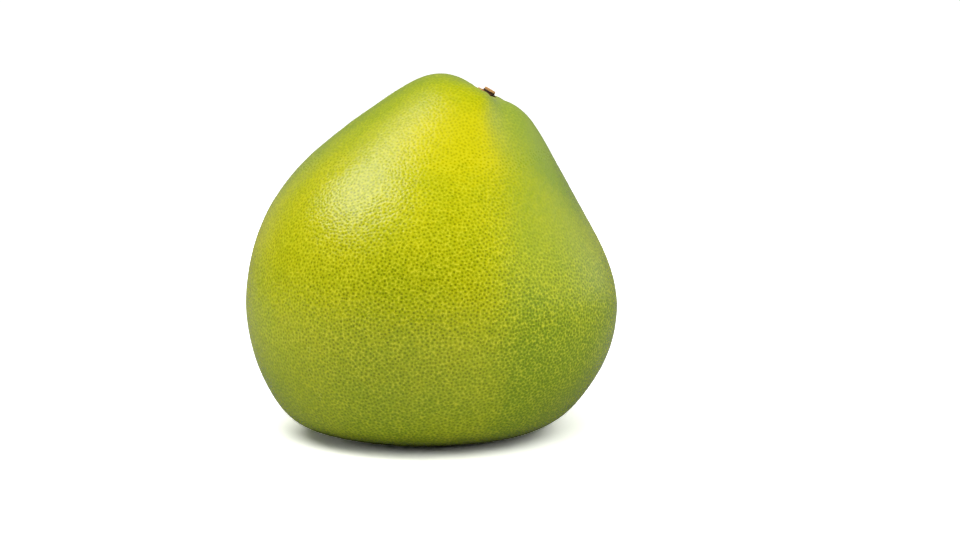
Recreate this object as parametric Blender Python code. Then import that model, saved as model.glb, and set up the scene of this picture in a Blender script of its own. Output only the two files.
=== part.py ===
"""A pear-shaped pomelo: the whole fruit, the dried calyx in its stalk dimple and the cut stalk.

Metres, +Z up. The fruit rests on the flat of its blossom end; its neck leans toward +X.
"""
import math

import bmesh
import bpy
from mathutils import Matrix, Vector

for old in list(bpy.data.objects):
    bpy.data.objects.remove(old, do_unlink=True)

GAP = 0.0003                      # clearance between neighbouring pieces

# Body: a round section on a spine that is upright in the belly and leans in the neck.
HALF_WIDTH = 0.0808               # section radius at the middle of the spine
HALF_HEIGHT = 0.0769              # half the length of the spine
BELLY_DROP = 0.0109               # how far the widest section sinks below mid-height
DEPTH_RATIO = 0.98                # front-to-back size against side-to-side size
FULLNESS = {1: -0.075, 3: -0.335, 4: -0.43, 6: 0.85}   # by power of cos(polar angle)
LEAN = 0.0281                     # sideways travel of the spine at the stalk
LEAN_POWER = 2.45                 # how late along the spine the lean sets in
FLAT_DEPTH = 0.0014               # how much of the blossom end is pressed flat
FLAT_EASE = 0.0008                # height over which the flat runs out into the curve

# Neck: swellings and furrows that run down from the stalk, and the dimple the stalk sits in.
NECK_RELIEF = (                   # azimuth, height (+) or depth (-), sharpness, polar angle, spread
    (3.00, 0.0008, 1.5, 0.30, 0.26),
    (-2.05, 0.0002, 3.5, 0.42, 0.30),
    (-1.16, -0.0028, 20.0, 0.38, 0.28),
    (-0.55, 0.0003, 5.0, 0.50, 0.30),
    (0.35, -0.0044, 7.0, 0.36, 0.26),
    (1.75, -0.0033, 7.0, 0.40, 0.30),
    (0.00, 0.0005, 1.5, 0.92, 0.28),
)
DIMPLE_DEPTH = 0.0044
DIMPLE_RADIUS = 0.0133
COLLAR_RADIUS = 0.0045            # inside this radius the neck relief dies away

RINGS = 46
SEGMENTS = 72
RING_CROWDING = 1.45              # above 1, rings crowd toward the stalk end

# Calyx: a thin dried button with five blunt lobes, cupped by the dimple.
CALYX_RADIUS = 0.0043
CALYX_LOBE = 0.0006
CALYX_LOBES = 5
CALYX_THICKNESS = 0.0012
CALYX_RIM_THICKNESS = 0.0005
CALYX_RINGS = 6
CALYX_SEGMENTS = 60

# Stalk: the stub left by the cut, almost flush with the calyx and off its middle.
STALK_RADIUS = 0.0025
STALK_SHIFT = 0.0010              # toward the leaning side
STALK_FLARE = 0.0003              # extra radius at the foot
STALK_LENGTH = 0.0010
STALK_DISH = 0.0003               # hollow of the cut face
STALK_CUT_SLOPE = 0.08            # rise of the cut across the stalk
STALK_SEGMENTS = 40


def spine_at(height):
    """Sideways offset and lean angle of the spine at a height along it."""
    length = 2 * HALF_HEIGHT
    t = max(0.0, height / length)
    slope = LEAN * LEAN_POWER * t ** (LEAN_POWER - 1) / length
    return LEAN * t ** LEAN_POWER, math.atan(slope)


def neck_relief(polar, azimuth, radius):
    """Height of the rind above the plain outline."""
    relief = 0.0
    for centre, rise, sharpness, at_polar, spread in NECK_RELIEF:
        across = math.exp(sharpness * (math.cos(azimuth - centre) - 1))
        along = math.exp(-((polar - at_polar) / spread) ** 2)
        relief += rise * across * along
    relief *= 1 - math.exp(-(radius / COLLAR_RADIUS) ** 2)
    if polar < math.pi / 2:
        relief -= DIMPLE_DEPTH * math.exp(-(radius / DIMPLE_RADIUS) ** 2)
    return relief


def press_flat(height):
    """Height of a point once the blossom end is pressed flat at z = 0."""
    height -= FLAT_DEPTH
    if height >= FLAT_EASE:
        return height
    if height <= -FLAT_EASE:
        return 0.0
    return (height + FLAT_EASE) ** 2 / (4 * FLAT_EASE)


def rind_point(polar, azimuth):
    """Point of the rind at a polar angle from the stalk and an azimuth about the spine."""
    c, s = math.cos(polar), math.sin(polar)
    fullness = 1 + sum(k * c ** power for power, k in FULLNESS.items())
    radius = HALF_WIDTH * s * fullness
    height = HALF_HEIGHT * (1 + c) - BELLY_DROP * s ** 2
    relief = neck_relief(polar, azimuth, radius)
    offset, lean = spine_at(height)
    out = radius + relief * s
    up = relief * c
    x = out * math.cos(azimuth)
    y = out * math.sin(azimuth) * DEPTH_RATIO
    return Vector((
        offset + x * math.cos(lean) + up * math.sin(lean),
        y,
        press_flat(height - x * math.sin(lean) + up * math.cos(lean)),
    ))


def stalk_frame():
    """Frame on the rind at the middle of the dimple, its Z along the stalk."""
    lean = spine_at(2 * HALF_HEIGHT)[1]
    return Matrix.Translation(rind_point(0.0, 0.0)) @ Matrix.Rotation(lean, 4, "Y")


def lathe(bm, rings, first, last):
    """Skin a list of rings of points, closed by a point at each end."""
    loops = [[bm.verts.new(p) for p in ring] for ring in rings]
    start, end = bm.verts.new(first), bm.verts.new(last)
    count = len(loops[0])
    for i in range(count):
        j = (i + 1) % count
        bm.faces.new((start, loops[0][i], loops[0][j]))
        bm.faces.new((end, loops[-1][j], loops[-1][i]))
        for upper, lower in zip(loops, loops[1:]):
            bm.faces.new((upper[i], lower[i], lower[j], upper[j]))


def add_object(name, bm, slot, colour, roughness):
    """Finish a mesh as a smooth object with its own material."""
    bmesh.ops.recalc_face_normals(bm, faces=bm.faces)
    mesh = bpy.data.meshes.new(name)
    bm.to_mesh(mesh)
    bm.free()
    mesh.shade_smooth()
    material = bpy.data.materials.new(slot)
    material.use_nodes = True
    shader = material.node_tree.nodes["Principled BSDF"]
    shader.inputs["Base Color"].default_value = (*colour, 1.0)
    shader.inputs["Roughness"].default_value = roughness
    mesh.materials.append(material)
    piece = bpy.data.objects.new(name, mesh)
    bpy.context.scene.collection.objects.link(piece)
    return piece


def ring_angles(count):
    return [math.tau * i / count for i in range(count)]


def build_fruit():
    """The whole uncut fruit as one solid."""
    polars = [math.pi * (i / RINGS) ** RING_CROWDING for i in range(1, RINGS)]
    rings = [[rind_point(p, a) for a in ring_angles(SEGMENTS)] for p in polars]
    bm = bmesh.new()
    lathe(bm, rings, rind_point(0.0, 0.0), rind_point(math.pi, 0.0))
    return add_object("fruit", bm, "rind", (0.42, 0.47, 0.03), 0.42)


def build_calyx(frame):
    """The button: its underside follows the dimple, its top is domed and lobed."""
    to_local = frame.inverted()

    def underside(radius, azimuth):
        polar = math.asin(radius / (HALF_WIDTH * (1 + sum(FULLNESS.values()))))
        return to_local @ rind_point(polar, azimuth) + Vector((0, 0, GAP))

    def reach(azimuth):
        return CALYX_RADIUS + CALYX_LOBE * math.cos(CALYX_LOBES * azimuth)

    def thickness(share):
        return CALYX_RIM_THICKNESS + (CALYX_THICKNESS - CALYX_RIM_THICKNESS) * (1 - share ** 2)

    shares = [(i + 1) / CALYX_RINGS for i in range(CALYX_RINGS)]
    angles = ring_angles(CALYX_SEGMENTS)
    top = []
    for share in shares:
        rise = Vector((0, 0, thickness(share)))
        top.append([underside(reach(a) * share, a) + rise for a in angles])
    bottom = [[underside(reach(a) * share, a) for a in angles] for share in reversed(shares)]
    bm = bmesh.new()
    lathe(bm, top + bottom, Vector((0, 0, GAP + CALYX_THICKNESS)), Vector((0, 0, GAP)))
    calyx = add_object("calyx", bm, "calyx", (0.34, 0.19, 0.07), 0.8)
    calyx.matrix_world = frame
    return calyx


def build_stem_stub(frame):
    """The stub: flared at the foot, with a slightly dished slanting cut."""
    foot = GAP + CALYX_THICKNESS + GAP
    levels = (
        (STALK_RADIUS + STALK_FLARE, foot),
        (STALK_RADIUS + STALK_FLARE * 0.4, foot + STALK_LENGTH * 0.2),
        (STALK_RADIUS, foot + STALK_LENGTH * 0.5),
        (STALK_RADIUS, foot + STALK_LENGTH * 0.92),
        (STALK_RADIUS * 0.92, foot + STALK_LENGTH),
        (STALK_RADIUS * 0.45, foot + STALK_LENGTH - STALK_DISH * 0.75),
    )
    rings = []
    for radius, z in levels:
        slope = STALK_CUT_SLOPE * (z - foot) / STALK_LENGTH
        ring = []
        for a in ring_angles(STALK_SEGMENTS):
            x = radius * math.cos(a)
            ring.append(Vector((x + STALK_SHIFT, radius * math.sin(a), z - x * slope)))
        rings.append(ring)
    bm = bmesh.new()
    tip = foot + STALK_LENGTH - STALK_DISH
    lathe(bm, rings, Vector((STALK_SHIFT, 0, foot)), Vector((STALK_SHIFT, 0, tip)))
    stub = add_object("stem_stub", bm, "stalk_wood", (0.10, 0.06, 0.03), 0.85)
    stub.matrix_world = frame
    return stub


fruit = build_fruit()
stalk = stalk_frame()
calyx = build_calyx(stalk)
stem_stub = build_stem_stub(stalk)

# The origin stands on the ground under the middle of the fruit's outline.
xs = [v.co.x for v in fruit.data.vertices]
ys = [v.co.y for v in fruit.data.vertices]
pomelo = bpy.data.objects.new("pomelo", None)
bpy.context.scene.collection.objects.link(pomelo)
for piece in (fruit, calyx, stem_stub):
    piece.parent = pomelo
pomelo.location = (-(min(xs) + max(xs)) / 2, -(min(ys) + max(ys)) / 2, 0)
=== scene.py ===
import math

import bmesh
import bpy
from mathutils import Matrix, Vector, noise


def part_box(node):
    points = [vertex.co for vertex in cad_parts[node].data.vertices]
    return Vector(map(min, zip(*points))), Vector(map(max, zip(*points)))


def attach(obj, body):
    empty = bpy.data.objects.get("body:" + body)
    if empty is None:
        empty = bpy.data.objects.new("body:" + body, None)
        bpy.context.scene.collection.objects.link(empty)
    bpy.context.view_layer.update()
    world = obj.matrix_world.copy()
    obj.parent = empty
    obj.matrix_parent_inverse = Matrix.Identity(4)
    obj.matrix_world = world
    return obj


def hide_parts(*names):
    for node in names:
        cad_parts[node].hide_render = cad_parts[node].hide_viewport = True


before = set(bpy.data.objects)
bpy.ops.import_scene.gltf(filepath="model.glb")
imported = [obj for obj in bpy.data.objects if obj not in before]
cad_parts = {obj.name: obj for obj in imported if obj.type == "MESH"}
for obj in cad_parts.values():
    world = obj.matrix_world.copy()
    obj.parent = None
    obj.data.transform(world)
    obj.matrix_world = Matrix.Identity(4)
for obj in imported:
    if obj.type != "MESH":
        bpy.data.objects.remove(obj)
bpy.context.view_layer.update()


# ---- Rind -----------------------------------------------------------------------------------
# The peel of a pear-shaped pomelo: waxy, yellow-green and set with oil glands about two
# millimetres apart. It grows about a spine that is upright in the belly and leans in the neck,
# and the blossom end is pressed flat where the fruit stands.

HALF_WIDTH = 0.0808
HALF_HEIGHT = 0.0769
BELLY_DROP = 0.0109
DEPTH_RATIO = 0.98
FULLNESS = {1: -0.075, 3: -0.335, 4: -0.43, 6: 0.85}   # by power of cos(polar angle)
LEAN = 0.0281
LEAN_POWER = 2.45
FLAT_DEPTH = 0.0014
FLAT_EASE = 0.0008
NECK_RELIEF = (               # azimuth, height (+) or depth (-), sharpness, polar angle, spread
    (3.00, 0.0008, 1.5, 0.30, 0.26),
    (-2.05, 0.0002, 3.5, 0.42, 0.30),
    (-1.16, -0.0028, 20.0, 0.38, 0.28),
    (-0.55, 0.0003, 5.0, 0.50, 0.30),
    (0.35, -0.0044, 7.0, 0.36, 0.26),
    (1.75, -0.0033, 7.0, 0.40, 0.30),
    (0.00, 0.0005, 1.5, 0.92, 0.28),
)
DIMPLE_DEPTH = 0.0044
DIMPLE_RADIUS = 0.0133
COLLAR_RADIUS = 0.0045
RINGS = 224
SEGMENTS = 436
RING_CROWDING = 1.12
SPINE_SHIFT = 0.0027          # from the middle of the outline back to the foot of the spine
JOIN_DISTANCE = 1e-6          # points of the wrapped grid nearer than this are one point

PUCKER_FOLDS = 13.0           # fine folds in the peel round the stalk
PUCKER_SWAY_FOLDS = 3.0       # how often round the stalk they crowd and spread
PUCKER_SWAY = 1.7
PUCKER_RADIUS = 0.0095
PUCKER_SPREAD = 0.0045
PUCKER_HEIGHT = 0.00016

SWELL_SCALE = 26.0            # slow swells of the grown surface
SWELL_HEIGHT = 0.0011
BOSS_SCALE = 120.0            # small bosses on them
BOSS_HEIGHT = 0.00022
PRESSED_BELOW = 0.0005        # height up to which the ground keeps the surface flat
GROWN_ABOVE = 0.006           # height from which it swells freely

GLAND_SPACING = 0.00145       # between glands of one generation
GLAND_CLEARANCE = 0.00105     # between glands of different generations
GLAND_CROWDING = 2000000.0    # glands tried for on a square metre
GLAND_SEED = 11
GLAND_SIZES = (1.0, 0.9, 0.75)                # one for each generation
GLAND_RADIUS = 0.00064        # where a dot fades out
GLAND_CORE = 0.00016          # inside this it is at its darkest
PIT_RADIUS = 0.00125
PIT_DEPTH = 0.00009

MOTTLE_SCALE = 30.0           # patches of unequal ripeness
BLOTCH_SCALE = 95.0
PEBBLE_SCALE = 380.0          # unevenness from gland to gland
PEBBLE_HEIGHT = 0.00011
GRAIN_SCALE = 1100.0          # grain between the glands
GRAIN_HEIGHT = 0.00005

PEEL_COLOURS = (                              # from the greenest peel to the ripest
    (0.00, (0.212, 0.312, 0.003, 1)),
    (0.35, (0.328, 0.392, 0.003, 1)),
    (0.70, (0.435, 0.450, 0.002, 1)),
    (1.00, (0.570, 0.530, 0.002, 1)),
)
# painted reflection: pale grey-green standing in for white surroundings mirrored in the wax
PAINTED_FLANK_SHEEN_COLOUR = (0.37, 0.43, 0.12, 1)
GLAND_COLOUR = (0.105, 0.125, 0.000, 1)
RIDGE_COLOUR = (0.72, 0.70, 0.030, 1)         # between the glands
# deep green of the foot: partly its own colour, partly painted contact shade
FOOT_GREEN_AND_SHADE_COLOUR = (0.050, 0.080, 0.002, 1)
COLLAR_COLOUR = (0.33, 0.36, 0.10, 1)
SCAR_MIDDLE_COLOUR = (0.060, 0.030, 0.012, 1)
SCAR_COLOUR = (0.30, 0.19, 0.08, 1)
SCAR_HALO_COLOUR = (0.36, 0.33, 0.06, 1)
RIPE_LOBE = (0.0135, -0.035, 0.136)           # the ripest place, on the front of the neck
SCAR_DEPTH = 0.0002
WAX_IOR = 1.46
WAX_ROUGHNESS = 0.25


class Wire:
    """One output of a node. Arithmetic on it adds Math nodes to the same tree."""

    def __init__(self, nodes, socket):
        self.nodes = nodes
        self.socket = socket

    def other(self, name):
        """Another output of the same node."""
        return Wire(self.nodes, self.socket.node.outputs[name])

    def math(self, operation, *values):
        """A Math node's result on this output and any further values."""
        return self.nodes.math(operation, self, *values)

    def __add__(self, value):
        return self.math("ADD", value)

    def __radd__(self, value):
        return self.nodes.math("ADD", value, self)

    def __sub__(self, value):
        return self.math("SUBTRACT", value)

    def __rsub__(self, value):
        return self.nodes.math("SUBTRACT", value, self)

    def __mul__(self, value):
        return self.math("MULTIPLY", value)

    def __rmul__(self, value):
        return self.nodes.math("MULTIPLY", value, self)

    def __truediv__(self, value):
        return self.math("DIVIDE", value)

    def __rtruediv__(self, value):
        return self.nodes.math("DIVIDE", value, self)

    def __pow__(self, value):
        return self.math("POWER", value)

    def __neg__(self):
        return self.math("MULTIPLY", -1.0)


class Nodes:
    """A node tree, built one node at a time."""

    def __init__(self, tree):
        self.tree = tree

    def add(self, kind, settings=None, values=None, output=0):
        """Add a node, set it up, fill or link its sockets, and return one of its outputs."""
        node = self.tree.nodes.new(kind)
        for name, value in (settings or {}).items():
            if name == "stops":
                self.set_stops(node.color_ramp, value)
            else:
                setattr(node, name, value)
        for key, value in (values or {}).items():
            if isinstance(value, Wire):
                self.tree.links.new(value.socket, node.inputs[key])
            else:
                node.inputs[key].default_value = value
        return Wire(self, node.outputs[output]) if len(node.outputs) else node

    def math(self, operation, *values):
        """A Math node's result on numbers or outputs."""
        return self.add("ShaderNodeMath", {"operation": operation}, dict(enumerate(values)))

    def set_stops(self, ramp, stops):
        while len(ramp.elements) < len(stops):
            ramp.elements.new(1.0)
        for element, (place, colour) in zip(ramp.elements, stops):
            element.position = place
            element.color = colour

    def step(self, value, low, high):
        """0 below low, 1 above high, smooth between; low may be the larger."""
        ends = {"Value": value, "From Min": low, "From Max": high}
        return self.add("ShaderNodeMapRange", {"interpolation_type": "SMOOTHSTEP"}, ends)

    def mix(self, factor, first, second):
        """Blend of two colours."""
        colours = {0: factor, 6: first, 7: second}
        return self.add("ShaderNodeMix", {"data_type": "RGBA"}, colours, 2)

    def distance(self, first, second):
        """How far apart two places are."""
        places = {0: first, 1: second}
        return self.add("ShaderNodeVectorMath", {"operation": "DISTANCE"}, places, "Value")

    def bump(self, height):
        """Normal of a surface raised by a height in metres."""
        return self.add("ShaderNodeBump", {}, {"Strength": 1.0, "Distance": 1.0, "Height": height})


def rind_tree():
    """Geometry nodes for the peel: a grid wrapped to the fruit, with its glands marked on it."""
    tree = bpy.data.node_groups.new("rind", "GeometryNodeTree")
    sizes = {
        "Half width": HALF_WIDTH,
        "Half height": HALF_HEIGHT,
        "Belly drop": BELLY_DROP,
        "Depth ratio": DEPTH_RATIO,
        "Lean": LEAN,
        "Lean power": LEAN_POWER,
        "Dimple depth": DIMPLE_DEPTH,
        "Dimple radius": DIMPLE_RADIUS,
        "Flat depth": FLAT_DEPTH,
        "Gland spacing": GLAND_SPACING,
        "Gland clearance": GLAND_CLEARANCE,
        "Middle": (fruit_low.x + fruit_high.x) / 2,
    }
    for name in sizes:
        tree.interface.new_socket(name, in_out="INPUT", socket_type="NodeSocketFloat")
    tree.interface.new_socket("Skin", in_out="INPUT", socket_type="NodeSocketMaterial")
    tree.interface.new_socket("Mesh", in_out="OUTPUT", socket_type="NodeSocketGeometry")
    nodes = Nodes(tree)
    size = nodes.add("NodeGroupInput").other

    grid = nodes.add("GeometryNodeMeshGrid", {}, {
        "Size X": 1.0,
        "Size Y": 1.0,
        "Vertices X": SEGMENTS + 1,
        "Vertices Y": RINGS + 1,
    })
    flat_place = nodes.add("ShaderNodeSeparateXYZ", {}, {0: nodes.add("GeometryNodeInputPosition")})
    azimuth = (flat_place + 0.5) * math.tau
    polar = (flat_place.other("Y") + 0.5) ** RING_CROWDING * math.pi
    c = polar.math("COSINE")
    s = polar.math("SINE")

    # plain outline about the upright spine
    fullness = 1.0
    for power, amount in FULLNESS.items():
        fullness = c ** power * amount + fullness
    radius = size("Half width") * s * fullness
    height = size("Half height") * (c + 1.0) - size("Belly drop") * s * s

    # swellings and furrows of the neck, fine puckers round the stalk, and the dimple
    relief = 0.0
    for centre, rise, sharpness, at_polar, spread in NECK_RELIEF:
        turn = azimuth - centre
        across = (polar - at_polar) / spread
        fall = (turn.math("COSINE") - 1.0) * sharpness - across * across
        relief = fall.math("EXPONENT") * rise + relief
    pucker_sway = (azimuth * PUCKER_SWAY_FOLDS).math("SINE") * PUCKER_SWAY
    pucker_turn = azimuth * PUCKER_FOLDS + pucker_sway
    pucker_band = (radius - PUCKER_RADIUS) / PUCKER_SPREAD
    pucker_fall = -(pucker_band * pucker_band)
    pucker = pucker_turn.math("COSINE") * pucker_fall.math("EXPONENT")
    relief = relief + pucker * PUCKER_HEIGHT
    from_collar = -(radius / COLLAR_RADIUS) * (radius / COLLAR_RADIUS)
    relief = relief * (1.0 - from_collar.math("EXPONENT"))
    into_dimple = -(radius / size("Dimple radius")) * (radius / size("Dimple radius"))
    at_stalk = c.math("GREATER_THAN", 0.0) * size("Dimple depth")
    relief = relief - at_stalk * into_dimple.math("EXPONENT")

    # lean of the neck
    length = size("Half height") * 2.0
    along = (height / length).math("MAXIMUM", 0.0)
    offset = size("Lean") * along ** size("Lean power")
    slope = size("Lean") * size("Lean power") * along ** (size("Lean power") - 1.0) / length
    lean = slope.math("ARCTANGENT")
    cos_lean = lean.math("COSINE")
    sin_lean = lean.math("SINE")
    out = radius + relief * s
    up = relief * c
    x = out * azimuth.math("COSINE")
    y = out * azimuth.math("SINE") * size("Depth ratio")
    z = height - x * sin_lean + up * cos_lean - size("Flat depth")
    eased = (z + FLAT_EASE) * (z + FLAT_EASE) / (4.0 * FLAT_EASE)
    above = z.math("GREATER_THAN", FLAT_EASE)
    below = z.math("LESS_THAN", -FLAT_EASE)
    pressed = z * above + eased * (1.0 - above) * (1.0 - below)
    place = nodes.add("ShaderNodeCombineXYZ", {}, {
        "X": offset + x * cos_lean + up * sin_lean,
        "Y": y,
        "Z": pressed,
    })
    wrapped = nodes.add("GeometryNodeSetPosition", {}, {"Geometry": grid, "Position": place})
    joined = nodes.add("GeometryNodeMergeByDistance", {}, {
        "Geometry": wrapped,
        "Distance": JOIN_DISTANCE,
    })
    ends = nodes.add("GeometryNodeBoundBox", {}, {"Geometry": joined}, "Min")
    low = nodes.add("ShaderNodeSeparateXYZ", {}, {0: ends})
    high = nodes.add("ShaderNodeSeparateXYZ", {}, {0: ends.other("Max")})
    middle = nodes.add("ShaderNodeCombineXYZ", {}, {"X": size("Middle") - (low + high) * 0.5})
    closed = nodes.add("GeometryNodeSetPosition", {}, {"Geometry": joined, "Offset": middle})

    # slow swells and small bosses of the grown surface, dying away at the resting flat
    ground = nodes.add("ShaderNodeSeparateXYZ", {}, {0: nodes.add("GeometryNodeInputPosition")})
    free = nodes.step(ground.other("Z"), PRESSED_BELOW, GROWN_ABOVE)
    swell = nodes.add("ShaderNodeTexNoise", {}, {
        "Scale": SWELL_SCALE,
        "Detail": 1.0,
        "Roughness": 0.4,
    })
    boss = nodes.add("ShaderNodeTexNoise", {}, {
        "Scale": BOSS_SCALE,
        "Detail": 1.0,
        "Roughness": 0.5,
    })
    lift = ((swell - 0.5) * SWELL_HEIGHT + (boss - 0.5) * BOSS_HEIGHT) * free
    push = nodes.add("ShaderNodeVectorMath", {"operation": "SCALE"}, {
        0: nodes.add("GeometryNodeInputNormal"),
        "Scale": lift,
    })
    grown = nodes.add("GeometryNodeSetPosition", {}, {"Geometry": closed, "Offset": push})

    # glands, a generation at a time, each keeping clear of the ones before it
    skin = grown
    earlier = None
    scatter = {"distribute_method": "POISSON"}
    to_points = {"target_element": "POINTS"}
    on_faces = {"data_type": "FLOAT_VECTOR", "domain": "FACE"}
    for generation in range(len(GLAND_SIZES)):
        glands = nodes.add("GeometryNodeDistributePointsOnFaces", scatter, {
            "Mesh": grown,
            "Distance Min": size("Gland spacing"),
            "Density Max": GLAND_CROWDING,
            "Seed": GLAND_SEED + generation,
        })
        if earlier:
            nearest = nodes.add("GeometryNodeProximity", to_points, {"Geometry": earlier})
            crowded = nearest.other("Distance").math("LESS_THAN", size("Gland clearance"))
            glands = nodes.add("GeometryNodeDeleteGeometry", {}, {
                "Geometry": glands,
                "Selection": crowded,
            })
            both = nodes.add("GeometryNodeJoinGeometry", {}, {"Geometry": earlier})
            tree.links.new(glands.socket, both.socket.node.inputs[0])
            earlier = both
        else:
            earlier = glands
        nearest = nodes.add("GeometryNodeProximity", to_points, {"Geometry": glands})
        skin = nodes.add("GeometryNodeStoreNamedAttribute", on_faces, {
            "Geometry": skin,
            "Name": f"gland_{generation}",
            "Value": nearest,
        })
    smooth = nodes.add("GeometryNodeSetShadeSmooth", {}, {"Geometry": skin})
    real = nodes.add("GeometryNodeRealizeInstances", {}, {"Geometry": smooth})
    dressed = nodes.add("GeometryNodeSetMaterial", {}, {"Geometry": real, "Material": size("Skin")})
    nodes.add("NodeGroupOutput", {}, {"Mesh": dressed})
    return tree, sizes


def skin_material():
    """Waxy green-yellow peel: greener low down and on the leaning side, dotted with dark glands."""
    material = bpy.data.materials.new("pomelo_skin")
    material.use_nodes = True
    material.node_tree.nodes.clear()
    nodes = Nodes(material.node_tree)
    place = nodes.add("ShaderNodeTexCoord", {}, {}, "Object")
    at = nodes.add("ShaderNodeSeparateXYZ", {}, {0: place})
    x, y, z = at, at.other("Y"), at.other("Z")

    def cloud(scale, detail, roughness=0.5):
        values = {"Vector": place, "Scale": scale, "Detail": detail, "Roughness": roughness}
        return nodes.add("ShaderNodeTexNoise", {}, values)

    # how ripe: green at the foot and down the leaning side, yellow on the front of the neck
    mottle = cloud(MOTTLE_SCALE, 3.0) - 0.5
    blotch = cloud(BLOTCH_SCALE, 3.0, 0.6) - 0.5
    pebble = cloud(PEBBLE_SCALE, 2.0, 0.6) - 0.5
    furrow = nodes.step(z, 0.1430, 0.1120) * 0.0075 + 0.0245
    past_furrow = x - furrow + mottle * 0.005
    furrow_ease = nodes.step(z, 0.142, 0.100) * 0.008 + 0.0036
    leaning_side = nodes.step(past_furrow / furrow_ease, -1.0, 1.0)
    above_foot = nodes.step(z, 0.0, 0.110)
    front_of_neck = nodes.step(nodes.distance(place, RIPE_LOBE), 0.038, 0.006)
    far_leaning_side = nodes.step(x, 0.024, 0.044)
    back_of_neck = nodes.step(y, -0.045, -0.005) * nodes.step(z, 0.085, 0.125)
    shoulder = nodes.step(x, -0.006, -0.034) * nodes.step(z, 0.090, 0.130)
    outer_side = nodes.step(x, -0.050, -0.080)
    ripe = above_foot * 0.60 + 0.15 + front_of_neck * 0.32
    ripe = ripe - leaning_side * 0.32 - far_leaning_side * 0.10
    ripe = ripe - back_of_neck * 0.60 - shoulder * 0.08 - outer_side * 0.12
    ripe = ripe + mottle * 0.40 + blotch * 0.30 + pebble * 0.35
    colour = nodes.add("ShaderNodeValToRGB", {"stops": PEEL_COLOURS}, {0: ripe})

    # painted reflection: the leaning side beside the stalk is paled toward grey-green, standing in
    # for the white surroundings mirrored in the wax
    painted_flank_sheen = leaning_side * nodes.step(z, 0.112, 0.142) * nodes.step(x, 0.0, 0.020)
    colour = nodes.mix(painted_flank_sheen * 0.30, colour, PAINTED_FLANK_SHEEN_COLOUR)

    # glands: dark dots of uneven size, each at the bottom of a soft pit that meets its neighbours
    dots = 0.0
    dents = 0.0
    for generation, size in enumerate(GLAND_SIZES):
        attribute = {"attribute_name": f"gland_{generation}"}
        centre = nodes.add("ShaderNodeAttribute", attribute, {}, "Vector")
        chance = nodes.add("ShaderNodeTexWhiteNoise", {}, {"Vector": centre})
        near = nodes.distance(place, centre) / ((chance * 0.5 + 0.75) * size)
        dot = nodes.step(near, GLAND_RADIUS, GLAND_CORE) * (chance * 0.6 + 0.4)
        dots = dot.math("MAXIMUM", dots)
        dents = nodes.step(near, PIT_RADIUS, 0.0).math("MAXIMUM", dents)

    # they show most round the belly, and fade up the neck, on the leaning side and at the rims
    below_neck = nodes.step(z, 0.150, 0.070)
    smooth_flank = nodes.step(x, 0.024, 0.046) * nodes.step(z, 0.060, 0.110)
    toward_foot = nodes.step(z, 0.060, 0.020)
    toward_rim = nodes.step(x, -0.035, -0.065)
    shown = (below_neck * 0.62 + 0.38) * (1.0 - smooth_flank * 0.75)
    shown = shown * (1.0 - toward_foot * 0.20) * (1.0 - toward_rim * 0.25)
    colour = nodes.mix(dots * shown * 0.76, colour, GLAND_COLOUR)
    grain = cloud(GRAIN_SCALE, 2.0, 0.6)
    ridge = nodes.step(dents, 0.45, 0.08)
    pale = ridge * (nodes.step(grain, 0.42, 0.62) * 0.85 + 0.15) * shown
    colour = nodes.mix(pale * 0.62, colour, RIDGE_COLOUR)
    # the lowest 12 mm of the peel darken toward deep green: partly the blossom end's own darker
    # green, partly painted contact shade where the fruit sits on the table
    foot_green_and_shade = nodes.step(z, 0.012, 0.0)
    colour = nodes.mix(foot_green_and_shade * 0.74, colour, FOOT_GREEN_AND_SHADE_COLOUR)

    # pale dry collar round the stalk, and the small brown scar at the middle of the blossom end
    from_stalk = nodes.distance(place, stalk_foot)
    collar = nodes.step(from_stalk + mottle * 0.004 + blotch * 0.003, 0.0105, 0.0055)
    colour = nodes.mix(collar * 0.70, colour, COLLAR_COLOUR)
    from_scar = nodes.distance(place, scar_place)
    ragged = from_scar + mottle * 0.003 + blotch * 0.002
    scar = nodes.step(ragged, 0.0042, 0.0030)
    corky = nodes.mix(nodes.step(ragged, 0.0012, 0.0026), SCAR_MIDDLE_COLOUR, SCAR_COLOUR)
    colour = nodes.mix(scar, colour, corky)
    halo = nodes.step(ragged, 0.0110, 0.0040) * (1.0 - scar)
    colour = nodes.mix(halo * 0.55, colour, SCAR_HALO_COLOUR)

    neck = nodes.step(z, 0.112, 0.140)
    roughness = WAX_ROUGHNESS - dots * 0.04 + mottle * 0.10 + (collar + scar) * 0.30
    roughness = roughness + neck * 0.12
    height = dents * -PIT_DEPTH + grain * GRAIN_HEIGHT + pebble * PEBBLE_HEIGHT
    height = height - scar * SCAR_DEPTH
    skin = nodes.add("ShaderNodeBsdfPrincipled", {}, {
        "Base Color": colour,
        "Roughness": roughness,
        "Normal": nodes.bump(height),
        "IOR": WAX_IOR,
    })
    nodes.add("ShaderNodeOutputMaterial", {}, {"Surface": skin})
    return material


def plain_mesh(name, piece):
    """The evaluated shape of a piece as a mesh object of its own, without modifiers."""
    graph = bpy.context.evaluated_depsgraph_get()
    shape = piece.evaluated_get(graph)
    mesh = bpy.data.meshes.new_from_object(shape, preserve_all_data_layers=True, depsgraph=graph)
    bpy.data.objects.remove(piece)
    mesh.name = name
    result = bpy.data.objects.new(name, mesh)
    bpy.context.scene.collection.objects.link(result)
    return result


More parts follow.
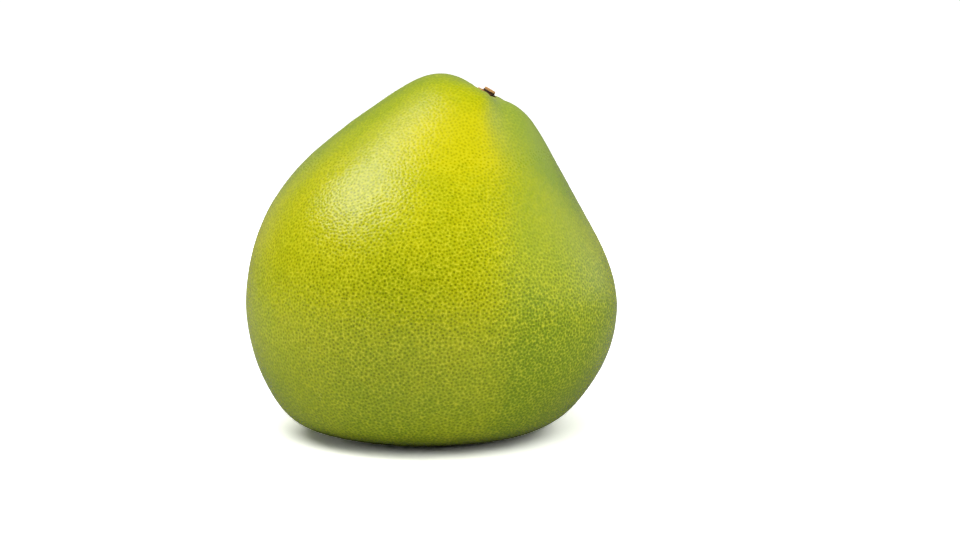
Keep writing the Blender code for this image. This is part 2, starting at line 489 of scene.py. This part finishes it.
fruit_low, fruit_high = (Vector(corner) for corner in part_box("fruit"))
calyx_low, calyx_high = (Vector(corner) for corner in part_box("calyx"))
stalk_foot = (calyx_low + calyx_high) / 2
scar_place = ((fruit_high.x + fruit_low.x) / 2 - SPINE_SHIFT, 0, 0)
tree, sizes = rind_tree()
rind = bpy.data.objects.new("rind_blank", bpy.data.meshes.new("rind_blank"))
bpy.context.scene.collection.objects.link(rind)
modifier = rind.modifiers.new("rind", "NODES")
modifier.node_group = tree
settings = {**sizes, "Skin": skin_material()}
for item in tree.interface.items_tree:
    if item.in_out == "INPUT":
        modifier[item.identifier] = settings[item.name]
rind = plain_mesh("rind", rind)
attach(rind, "root")
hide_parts("fruit")


# ---- Calyx ------------------------------------------------------------------------------------
# The dried button round the stalk: five blunt sepals, tan at the rim and dark in the creases,
# cupped by the dimple.

SAME_POINT = 1e-7             # corners of a modelled node nearer than this are one
CALYX_RADIUS = 0.0043
CALYX_LOBES = 5
CALYX_WRINKLE = 0.00026
CALYX_FOLD_SCALE = 1400.0
CALYX_CREASE_SCALE = 3200.0
CALYX_FIBRE_SCALE = 1900.0
CALYX_FIBRE_HEIGHT = 0.00012
CALYX_PATCH_SCALE = 420.0
CALYX_COLOURS = (             # from the darkest crease to the palest rim
    (0.00, (0.020, 0.010, 0.004, 1)),
    (0.35, (0.110, 0.045, 0.012, 1)),
    (0.70, (0.420, 0.190, 0.055, 1)),
    (1.00, (0.640, 0.390, 0.160, 1)),
)
STALK_LEAN = math.atan(LEAN * LEAN_POWER / (2 * HALF_HEIGHT))


def closer_mesh(node, cuts):
    """A finer copy of a modelled node, in world coordinates."""
    source = bpy.data.objects[node]
    bm = bmesh.new()
    bm.from_mesh(source.data)
    bm.transform(source.matrix_world)
    bmesh.ops.remove_doubles(bm, verts=bm.verts, dist=SAME_POINT)
    bmesh.ops.subdivide_edges(bm, edges=bm.edges, cuts=cuts, use_grid_fill=True, smooth=0.0)
    bm.normal_update()
    return bm


def add_piece(name, bm, material):
    """A smooth object of its own from a finished shape."""
    mesh = bpy.data.meshes.new(name)
    bm.to_mesh(mesh)
    bm.free()
    mesh.shade_smooth()
    mesh.materials.append(material)
    piece = bpy.data.objects.new(name, mesh)
    bpy.context.scene.collection.objects.link(piece)
    return piece


def stalk_nodes(name):
    """A material with its tree, and the position, radius and azimuth about the stalk."""
    material = bpy.data.materials.new(name)
    material.use_nodes = True
    material.node_tree.nodes.clear()
    nodes = Nodes(material.node_tree)
    local = nodes.add("ShaderNodeMapping", {"vector_type": "TEXTURE"}, {
        "Vector": nodes.add("ShaderNodeTexCoord", {}, {}, "Object"),
        "Location": stalk.translation,
        "Rotation": stalk.to_euler(),
    })
    at = nodes.add("ShaderNodeSeparateXYZ", {}, {0: local})
    radius = (at * at + at.other("Y") * at.other("Y")) ** 0.5
    azimuth = at.other("Y").math("ARCTAN2", at)
    return material, nodes, local, at, radius, azimuth


def calyx_material():
    """Dry, fibrous skin: dark at the stalk, tan at the lobes, and darkened on the leaning side as
    painted shade.
    """
    material, nodes, local, at, radius, azimuth = stalk_nodes("calyx_dry")
    fibre = nodes.add("ShaderNodeTexNoise", {}, {
        "Vector": local,
        "Scale": CALYX_FIBRE_SCALE,
        "Detail": 3.0,
    })
    patch = nodes.add("ShaderNodeTexNoise", {}, {
        "Vector": local,
        "Scale": CALYX_PATCH_SCALE,
        "Detail": 2.0,
    })
    crease = (azimuth * CALYX_LOBES).math("COSINE")
    tan = nodes.step(radius, 0.0014, 0.0040) * 0.8 + crease * 0.12 + (patch - 0.5) * 0.9
    # painted shade: the side of the button away from the key light is darkened
    tan = tan - nodes.step(at, -0.0024, 0.0006) * 0.65
    tan = tan + (fibre - 0.5) * 0.35
    skin = nodes.add("ShaderNodeBsdfPrincipled", {}, {
        "Base Color": nodes.add("ShaderNodeValToRGB", {"stops": CALYX_COLOURS}, {0: tan}),
        "Roughness": (patch - 0.5) * 0.2 + 0.78,
        "Normal": nodes.bump(fibre * CALYX_FIBRE_HEIGHT),
    })
    nodes.add("ShaderNodeOutputMaterial", {}, {"Surface": skin})
    return material


# the stalk's frame: its foot on the middle of the dimple, its Z along the stalk
stalk = Matrix.Translation(stalk_foot) @ Matrix.Rotation(STALK_LEAN, 4, "Y")
button = closer_mesh("calyx", 2)
for vert in button.verts:
    local = stalk.inverted() @ vert.co
    share = min(1.0, math.hypot(local.x, local.y) / CALYX_RADIUS)
    fold = noise.noise(local * CALYX_FOLD_SCALE) + 0.5 * noise.noise(local * CALYX_CREASE_SCALE)
    vert.co += vert.normal * CALYX_WRINKLE * fold * share
calyx = add_piece("calyx_button", button, calyx_material())
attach(calyx, "root")
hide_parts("calyx")


# ---- Stalk ------------------------------------------------------------------------------------
# The stub of the stalk, cut almost flush: dark bark, taken near black partly as painted shade,
# round a dished, weathered end grain.

STALK_ROUGHNESS = 0.00020
STALK_KNOT_SCALE = 900.0
STALK_SPLINTER_SCALE = 2600.0
STALK_CUT_SLOPE = -0.08        # rise of the cut face toward the leaning side
STALK_MIDDLE = 0.0012          # height of the stub's middle above the dimple's middle
STALK_ROOT = 0.0010            # how far its foot sinks into the calyx
BARK_ENDS = 0.00115            # height where the bark gives way to the cut face
WOOD_BEGINS = 0.00145
WOOD_GRAIN_SCALE = 1600.0
WOOD_GRAIN_HEIGHT = 0.00012
WOOD_RAY_SCALE = 4.0           # how closely the rays of the end grain stand round the middle
WOOD_RING_SCALE = 900.0        # how closely its rings follow outward
# dark bark, taken near black partly as painted shade on the stub's side
BARK_AND_SHADE_COLOURS = (
    (0.00, (0.008, 0.005, 0.003, 1)),
    (0.45, (0.024, 0.013, 0.006, 1)),
    (1.00, (0.110, 0.055, 0.022, 1)),
)
WOOD_COLOURS = (
    (0.00, (0.260, 0.110, 0.030, 1)),
    (0.50, (0.560, 0.290, 0.110, 1)),
    (1.00, (0.780, 0.520, 0.270, 1)),
)


def stalk_material():
    """Dark bark, taken near black partly as painted shade, round pale end grain with rays and
    rings.
    """
    material, nodes, local, at, radius, azimuth = stalk_nodes("stalk_end")
    grain = nodes.add("ShaderNodeTexNoise", {}, {
        "Vector": local,
        "Scale": WOOD_GRAIN_SCALE,
        "Detail": 4.0,
        "Roughness": 0.65,
    })
    across = nodes.add("ShaderNodeCombineXYZ", {}, {
        "X": azimuth * WOOD_RAY_SCALE,
        "Y": radius * WOOD_RING_SCALE,
    })
    rays = nodes.add("ShaderNodeTexNoise", {"noise_dimensions": "2D"}, {
        "Vector": across,
        "Scale": 1.0,
        "Detail": 2.0,
    })
    tone = (grain - 0.5) * 0.9 + (rays - 0.5) * 0.7 + 0.35
    # bark tone: its own dark brown, pushed near black as painted shade
    bark_and_shade = nodes.add("ShaderNodeValToRGB", {"stops": BARK_AND_SHADE_COLOURS}, {0: tone})
    wood = nodes.add("ShaderNodeValToRGB", {"stops": WOOD_COLOURS}, {0: tone + 0.15})
    level = at.other("Z") - at * STALK_CUT_SLOPE + (grain - 0.5) * 0.0003
    cut_face = nodes.step(level, BARK_ENDS, WOOD_BEGINS)
    skin = nodes.add("ShaderNodeBsdfPrincipled", {}, {
        "Base Color": nodes.mix(cut_face, bark_and_shade, wood),
        "Roughness": (grain - 0.5) * 0.2 + 0.85,
        "Normal": nodes.bump(tone * WOOD_GRAIN_HEIGHT),
    })
    nodes.add("ShaderNodeOutputMaterial", {}, {"Surface": skin})
    return material


stub = closer_mesh("stem_stub", 2)
up = stalk.to_3x3() @ Vector((0, 0, 1))
for vert in stub.verts:
    local = stalk.inverted() @ vert.co
    knots = noise.noise(local * STALK_KNOT_SCALE)
    splinters = noise.noise(local * STALK_SPLINTER_SCALE)
    ragged = knots + 0.6 * splinters
    rooted = STALK_ROOT if local.z < STALK_MIDDLE else 0.0
    vert.co += vert.normal * STALK_ROUGHNESS * ragged - up * rooted
stem_stub = add_piece("stalk_stub", stub, stalk_material())
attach(stem_stub, "root")
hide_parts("stem_stub")


# ---- Floor, light and camera ------------------------------------------------------------------
# A plain white table top that runs to a white background, a large soft light high on the left,
# and weaker light from the right, from low on the left and from the front.

FLOOR_SIZE = 4.0
FLOOR_WHITE = 0.66            # as light bounces off it
FLOOR_WHITE_SEEN = 1.80       # as it is seen, so that it runs to the background
FLOOR_WHITE_MIRRORED = 0.24   # as it shows in the wax of the peel
BACKDROP_SEEN = 1.05          # strength of the background as it is seen
BACKDROP_LIGHT = 0.05         # and as it lights the fruit
LIGHT_AIM = Vector((0, 0, 0.08))              # the middle of the fruit
CAMERA_LENS = 85
CAMERA_ELEVATION = math.radians(7.5)
CAMERA_DISTANCE = 0.992
CAMERA_AIM = Vector((0.0212, 0, 0.0715))

floor_mesh = bpy.data.meshes.new("floor")
sheet = bmesh.new()
bmesh.ops.create_grid(sheet, x_segments=1, y_segments=1, size=FLOOR_SIZE)
sheet.to_mesh(floor_mesh)
sheet.free()
floor = bpy.data.objects.new("floor", floor_mesh)
bpy.context.scene.collection.objects.link(floor)
paper = bpy.data.materials.new("white_table")
paper.use_nodes = True
paper.node_tree.nodes.clear()
nodes = Nodes(paper.node_tree)
seen = nodes.add("ShaderNodeLightPath", {}, {}, "Is Camera Ray")
mirrored = seen.other("Is Glossy Ray")
whiteness = FLOOR_WHITE + seen * (FLOOR_WHITE_SEEN - FLOOR_WHITE)
whiteness = whiteness - mirrored * (FLOOR_WHITE - FLOOR_WHITE_MIRRORED)
white = nodes.add("ShaderNodeCombineColor", {}, {0: whiteness, 1: whiteness, 2: whiteness})
table = nodes.add("ShaderNodeBsdfPrincipled", {}, {
    "Base Color": white,
    "Roughness": 0.8,
    "Specular IOR Level": 0.1,
})
nodes.add("ShaderNodeOutputMaterial", {}, {"Surface": table})
floor_mesh.materials.append(paper)

world = bpy.data.worlds.new("studio")
bpy.context.scene.world = world
world.use_nodes = True
world.node_tree.nodes.clear()
nodes = Nodes(world.node_tree)
sky = nodes.add("ShaderNodeTexCoord", {}, {}, "Generated")
toward = nodes.add("ShaderNodeSeparateXYZ", {}, {0: sky})
back_wall = nodes.step(toward.other("Y"), 0.40, 0.95) * 0.28
right_wall = nodes.step(toward, 0.50, 0.85) * 0.95
seen = nodes.add("ShaderNodeLightPath", {}, {}, "Is Camera Ray")
mirrored = seen.other("Is Glossy Ray")
strength = seen * BACKDROP_SEEN + (1.0 - seen - mirrored) * BACKDROP_LIGHT
strength = strength + mirrored * (back_wall + right_wall + 0.03)
backdrop = nodes.add("ShaderNodeBackground", {}, {"Color": (1, 1, 1, 1), "Strength": strength})
nodes.add("ShaderNodeOutputWorld", {}, {"Surface": backdrop})


def light(name, kind, direction, distance, power, settings):
    """A lamp in a direction from the fruit, aimed at its middle."""
    lamp = bpy.data.lights.new(name, kind)
    lamp.energy = power
    for key, value in settings.items():
        setattr(lamp, key, value)
    holder = bpy.data.objects.new(name, lamp)
    ray = Vector(direction).normalized()
    holder.location = LIGHT_AIM + ray * distance
    holder.rotation_euler = ray.to_track_quat("Z", "Y").to_euler()
    bpy.context.scene.collection.objects.link(holder)
    return holder


light("key", "AREA", (-0.53, -0.09, 0.84), 1.1, 7.9, {"size": 0.70})
side = light("side", "AREA", (0.70, -0.20, 0.68), 1.1, 2.1, {"size": 0.5})
bounce = light("bounce", "AREA", (-0.97, 0.00, -0.03), 0.8, 2.8, {"size": 0.5})
fill = light("fill", "SUN", (0.41, -0.49, 0.77), 3.0, 2.6, {"angle": math.radians(80)})
for lamp in (side, bounce, fill):             # these leave no reflection on the peel
    lamp.visible_glossy = False
    lamp.data.cycles.use_multiple_importance_sampling = False

bpy.context.scene.view_settings.view_transform = "Standard"

camera = bpy.data.cameras.new("camera")
camera.lens = CAMERA_LENS
camera.sensor_width = 36
camera.clip_start = 0.05
eye = bpy.data.objects.new("camera", camera)
toward_eye = Vector((0, -math.cos(CAMERA_ELEVATION), math.sin(CAMERA_ELEVATION)))
eye.location = CAMERA_AIM + toward_eye * CAMERA_DISTANCE
eye.rotation_euler = (math.pi / 2 - CAMERA_ELEVATION, 0, 0)
bpy.context.scene.collection.objects.link(eye)
bpy.context.scene.camera = eye
